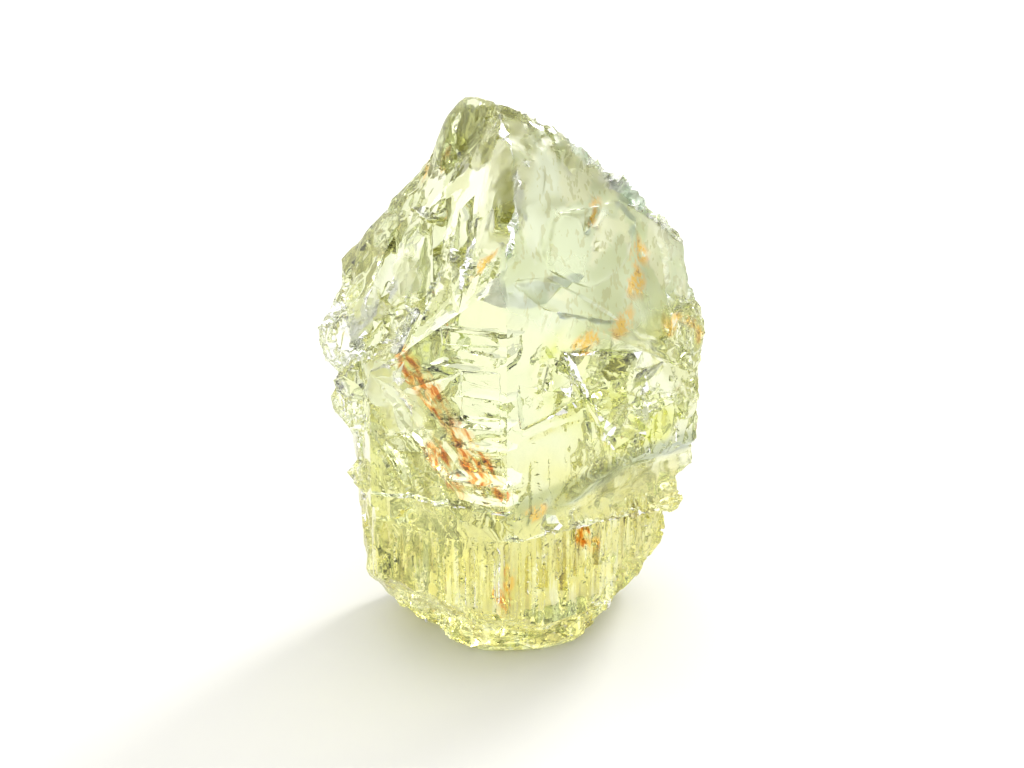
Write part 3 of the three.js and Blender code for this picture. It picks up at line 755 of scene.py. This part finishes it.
def beryl_material(settings):
    """Clear beryl: refraction with absorption in depth, tinted and roughened by zone; some tints are
    painted shade and painted highlight.
    """
    material = bpy.data.materials.new("beryl")
    shader = Shader(material)
    place = object_coordinates(shader)
    names = ("etched", "hazy", "grain", "bright", "rust")
    etched, hazy, grain, bright, rust = (shader.mask(name) for name in names)
    clouds = shader.noise(place, 260.0, 2.0)
    fine = shader.noise(place, 1400.0, 2.0, 0.6)
    upright = shader.noise(object_coordinates(shader, (1, 1, 0.1)), 800.0, 3.0, 0.7)
    leaning = shader.noise(object_coordinates(shader, (1, 1, 0.14), (0, 28, 0)), 1000.0, 2.0, 0.7)
    spots = shader.noise(object_coordinates(shader, (1, 1, 0.6)), 1000.0, 3.0, 0.75)

    # Each layer is a share and a tint, and lies over the layers before it.
    layers = (
        (hazy, settings.cool),
        # Olive: partly painted shade.
        (shader.mask("olive"), settings.olive),
        # Painted shade: dark chips.
        (shader.mask("dark"), settings.dark),
        # Partly frost, partly painted highlight.
        (bright, settings.white),
        (shader.mask("lime") * shader.step(clouds, 0.3, 0.6), settings.lime),
        (shader.mask("golden") * shader.step(clouds, 0.15, 0.6), settings.golden),
        (grain * shader.step(upright, 0.51, 0.6), settings.streak),
        (grain * shader.step(upright, 0.47, 0.4), settings.white_streak),
        (shader.mask("blade") * shader.step(clouds, 0.2, 0.4), settings.blade),
        # Painted shade on the hazy face's dark chips.
        (shader.mask("panel") * 0.6, settings.panel),
        (hazy * shader.step(leaning, 0.56, 0.6) * 0.7, settings.stroke),
        (rust * shader.step(spots, 0.38, 0.54), settings.rust),
        (rust * shader.step(spots, 0.6, 0.66), settings.deep_rust),
        (etched * shader.step(spots, 0.64, 0.7) * 0.5, settings.speck),
    )
    colour = (*settings.clear, 1)
    for share, tint in layers:
        colour = shader.mix(share, colour, (*tint, 1))
    haze = hazy * (0.2 + shader.step(clouds, 0.2, 0.8) * 0.2)
    frost = etched * shader.step(fine, 0.4, 0.75) * 0.2 + bright * 0.1 + shader.mask("frosty") * 0.25
    roughness = 0.03 + haze + frost
    height = fine * (0.12 * etched + 0.05)
    bump = shader.node("ShaderNodeBump", {}, {"Height": height, "Distance": 0.00012, "Strength": 0.6})
    surface = shader.node(
        "ShaderNodeBsdfPrincipled", {},
        {"Base Color": colour, "Roughness": roughness, "Normal": bump, "IOR": settings.ior,
         "Transmission Weight": 1.0})
    depth = shader.node(
        "ShaderNodeVolumeAbsorption", {},
        {"Color": (*settings.depth_colour, 1), "Density": settings.absorption})
    shader.node("ShaderNodeOutputMaterial", {}, {"Surface": surface, "Volume": depth})
    return material


class HELIODOR_OT_crystal(bpy.types.Operator):
    """Refine the solid's surface, etch it and give it its glassy finish"""

    bl_idname = "heliodor.crystal"
    bl_label = "Crystal"

    def execute(self, context):
        settings = context.scene.heliodor_crystal
        points, faces = merged(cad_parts["crystal"].data)
        fine, plain = settings.fine_edge / MM, settings.plain_edge / MM

        def limit(middles):
            rough = np.maximum(most(middles, ZONES), 0.8 * smooth((LOWER_TOP - middles[:, 2]) / 2))
            return plain + (fine - plain) * np.clip(rough * 2, 0, 1)

        points, faces = split_long_edges(points, faces, limit)
        hazy = on_plane(points, "hazy_face", 1.2) * (1 - in_crack(points))
        lower = smooth((16 - points[:, 2]) / 2) * smooth((points[:, 2] - 5) / 2)
        soft = (ROUNDED_SHARE * most(points, SOFT_ZONES), ROUNDED_FACE * hazy, ROUNDED_LOWER * lower)
        points = rounded(points, faces, np.max(soft, axis=0), ROUNDS)
        normals = point_normals(points, faces)
        masks = crystal_masks(points)
        points = points + normals * crystal_relief(points, normals, settings)[:, None]
        points = np.clip(points, CAD_LOW, CAD_HIGH)
        crystal = mesh_object("heliodor_crystal", points, faces, SHARP_SKIN)
        for name, values in masks.items():
            set_mask(crystal, name, values)
        crystal.data.materials.append(beryl_material(settings))
        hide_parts("crystal")
        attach(crystal, "root")
        return {"FINISHED"}


def lens(centre, across, inward, half_width, half_depth, half_thickness, seed):
    """A thin closed lens on a grid of radius and angle. Its rim is an ellipse whose radius is
    varied by a random facet line, and its two skins part by the thickness times one less the
    radius squared."""
    rings, around, ragged, waves, apart = 7, 40, 0.3, 2.3, 3.7
    angle = np.arange(around) * 2 * math.pi / around
    rim_places = np.stack([np.cos(angle) * waves, np.sin(angle) * waves, np.full(around, seed * apart)], 1)
    rim = 1 + ragged * facets(rim_places, seed)
    radius = (np.arange(1, rings) / rings)[:, None]
    skins = []
    normal = np.cross(across, inward)
    for side in (1, -1):
        u = radius * rim * np.cos(angle) * half_width
        v = radius * rim * np.sin(angle) * half_depth
        w = side * half_thickness * (1 - radius**2) * np.ones(around)
        skin = centre + u[..., None] * across + v[..., None] * inward + w[..., None] * normal
        skins.append(skin.reshape(-1, 3))
    edge = centre + (rim * np.cos(angle) * half_width)[:, None] * across
    edge = edge + (rim * np.sin(angle) * half_depth)[:, None] * inward
    poles = np.array([centre + side * half_thickness * normal for side in (1, -1)])
    points = np.vstack([skins[0], edge, skins[1], poles])
    ring = np.arange(around)
    after = (ring + 1) % around
    per_skin = (rings - 1) * around
    upper = [ring + i * around for i in range(rings)]
    lower = [per_skin + ring + (i + 1) * around for i in range(rings - 1)] + [per_skin + ring]
    top_pole, bottom_pole = len(points) - 2, len(points) - 1
    faces = [np.stack([np.full(around, top_pole), upper[0][ring], upper[0][after]], 1)]
    faces.append(np.stack([np.full(around, bottom_pole), lower[0][after], lower[0][ring]], 1))
    for inner, outer in zip(upper[:-1], upper[1:]):
        faces.append(np.stack([inner[ring], outer[ring], outer[after]], 1))
        faces.append(np.stack([inner[ring], outer[after], inner[after]], 1))
    for inner, outer in zip(lower[:-1], lower[1:]):
        faces.append(np.stack([inner[ring], outer[after], outer[ring]], 1))
        faces.append(np.stack([inner[ring], inner[after], outer[after]], 1))
    return points, np.vstack(faces)


def joined(parts):
    """Several sets of points and faces as one."""
    starts = np.cumsum([0] + [len(points) for points, _ in parts[:-1]])
    return (np.vstack([points for points, _ in parts]),
            np.vstack([faces + start for (_, faces), start in zip(parts, starts)]))


def stain_material(settings):
    """A patchy clear film of iron oxide that only colours the light going through it."""
    material = bpy.data.materials.new("iron_stain")
    shader = Shader(material)
    place = object_coordinates(shader, (1, 1, 0.22), (0, -34, 0))
    patches = shader.noise(place, 1700.0, 3.0, 0.75)
    cover = shader.step(patches, 0.37, 0.57) * shader.mask("cover")
    colour = shader.mix(cover, WHITE, (*settings.rust, 1))
    colour = shader.mix(shader.step(patches, 0.52, 0.62) * cover, colour, (*settings.deep_rust, 1))
    surface = shader.node(
        "ShaderNodeBsdfPrincipled", {},
        {"Base Color": colour, "Roughness": 0.0, "IOR": 1.0, "Transmission Weight": 1.0})
    shader.node("ShaderNodeOutputMaterial", {}, {"Surface": surface})
    return material


class HELIODOR_OT_stains(bpy.types.Operator):
    """Lay thin films of iron oxide under the stone's faces"""

    bl_idname = "heliodor.stains"
    bl_label = "Iron stains"

    def execute(self, context):
        settings = context.scene.heliodor_stains
        half = settings.film / MM / 2
        parts = []
        covers = []
        for seed, stain in enumerate(STAINS[SKIN_STAINS:]):
            centre, wide, high, *turns = stain
            part = lens(np.array(centre), *stain_axes(*turns), wide, high, half, FILM_SEED + seed)
            covers.append(in_stain(part[0], stain))
            parts.append(part)
        stains = mesh_object("iron_stains", *joined(parts), SHARP_FILM)
        set_mask(stains, "cover", np.concatenate(covers))
        stains.data.materials.append(stain_material(settings))
        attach(stains, "root")
        return {"FINISHED"}


def table_material(settings):
    """A matt white table top with a faint mottle."""
    material = bpy.data.materials.new("table_top")
    shader = Shader(material)
    mottle = shader.noise(object_coordinates(shader), 18.0, 3.0)
    shade = shader.mix(mottle, (*settings.table, 1), tuple(x * 0.985 for x in settings.table) + (1,))
    surface = shader.node("ShaderNodeBsdfPrincipled", {}, {"Base Color": shade, "Roughness": 0.7})
    shader.node("ShaderNodeOutputMaterial", {}, {"Surface": surface})
    return material


def surroundings(settings):
    """White all round for the camera. For the stone the side behind it is bright and the side in
    front of it is darker, as in a room with one window."""
    world = bpy.data.worlds.new("surroundings")
    bpy.context.scene.world = world
    shader = Shader(world)
    toward = shader.node("ShaderNodeTexCoord", output=0)
    x, y, z = (shader.node("ShaderNodeSeparateXYZ", {}, {0: toward}, output=i) for i in range(3))
    behind = shader.step(y + 0.35 * x + 0.25 * z, -0.75, 0.7)
    colour = shader.mix(behind, SKY_FRONT, SKY_BEHIND)
    colour = shader.mix(shader.step(z, 0.03, 0.5), colour, SKY_ABOVE)
    seen = shader.node("ShaderNodeLightPath", output=0)
    colour = shader.mix(seen, colour, WHITE)
    background = shader.node("ShaderNodeBackground", {}, {"Color": colour, "Strength": settings.sky})
    shader.node("ShaderNodeOutputWorld", {}, {"Surface": background})


def aimed(thing, place, target):
    """Puts a light or camera at a place and turns it to look at a target."""
    thing.location = place
    thing.rotation_euler = (Vector(target) - Vector(place)).to_track_quat("-Z", "Y").to_euler()


def soft_light(name, power, width, place, target):
    """A round area light at a place, aimed at a target, with lengths in metres."""
    light = bpy.data.lights.new(name, "AREA")
    light.shape = "DISK"
    light.size = width
    light.energy = power
    lamp = bpy.data.objects.new(name, light)
    bpy.context.scene.collection.objects.link(lamp)
    aimed(lamp, place, target)


class HELIODOR_OT_stage(bpy.types.Operator):
    """Set up the table, the soft light, the surroundings and the camera"""

    bl_idname = "heliodor.stage"
    bl_label = "Stage"

    def execute(self, context):
        settings = context.scene.heliodor_stage
        half, z = TABLE_HALF, TABLE_HEIGHT
        corners = [(-half, -half, z), (half, -half, z), (half, half, z), (-half, half, z)]
        table = mesh_object("table_top", np.array(corners), np.array([[0, 1, 2, 3]]))
        table.data.materials.append(table_material(settings))
        surroundings(settings)
        soft_light("key_light", settings.key, *KEY_LIGHT)
        soft_light("side_light", settings.side, *SIDE_LIGHT)
        camera = bpy.data.objects.new("camera", bpy.data.cameras.new("camera"))
        context.scene.collection.objects.link(camera)
        camera.data.lens = settings.lens
        camera.data.clip_start = 0.01
        camera.data.shift_x = (IMAGE_WIDTH / 2 - TARGET_PIXEL[0]) / IMAGE_WIDTH
        camera.data.shift_y = (TARGET_PIXEL[1] - IMAGE_HEIGHT / 2) / IMAGE_WIDTH
        back = Vector(direction(-90, math.degrees(settings.elevation)))
        target = Vector(settings.target)
        aimed(camera, target + back * settings.distance, target)
        context.scene.camera = camera
        context.scene.view_settings.view_transform = "Standard"
        return {"FINISHED"}


class HELIODOR_PT_sidebar(bpy.types.Panel):
    """The settings and steps of the heliodor"""

    bl_label = "Heliodor"
    bl_space_type = "VIEW_3D"
    bl_region_type = "UI"
    bl_category = "Heliodor"

    def draw(self, context):
        for owner, step in STEPS:
            settings = getattr(context.scene, owner)
            for name in settings.__annotations__:
                self.layout.prop(settings, name)
            self.layout.operator(step)


STEPS = (
    ("heliodor_stage", "heliodor.stage"),
    ("heliodor_crystal", "heliodor.crystal"),
    ("heliodor_stains", "heliodor.stains"),
)
SETTINGS = {
    "heliodor_crystal": CrystalSettings,
    "heliodor_stains": StainSettings,
    "heliodor_stage": StageSettings,
}
CLASSES = (
    CrystalSettings,
    StainSettings,
    StageSettings,
    HELIODOR_OT_stage,
    HELIODOR_OT_crystal,
    HELIODOR_OT_stains,
    HELIODOR_PT_sidebar,
)


def register():
    for each in CLASSES:
        bpy.utils.register_class(each)
    for name, group in SETTINGS.items():
        setattr(bpy.types.Scene, name, PointerProperty(type=group))


def unregister():
    for name in SETTINGS:
        delattr(bpy.types.Scene, name)
    for each in reversed(CLASSES):
        bpy.utils.unregister_class(each)


def main():
    """Registers the add-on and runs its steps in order."""
    register()
    bpy.ops.heliodor.stage()
    bpy.ops.heliodor.crystal()
    bpy.ops.heliodor.stains()


if __name__ == "__main__":
    main()
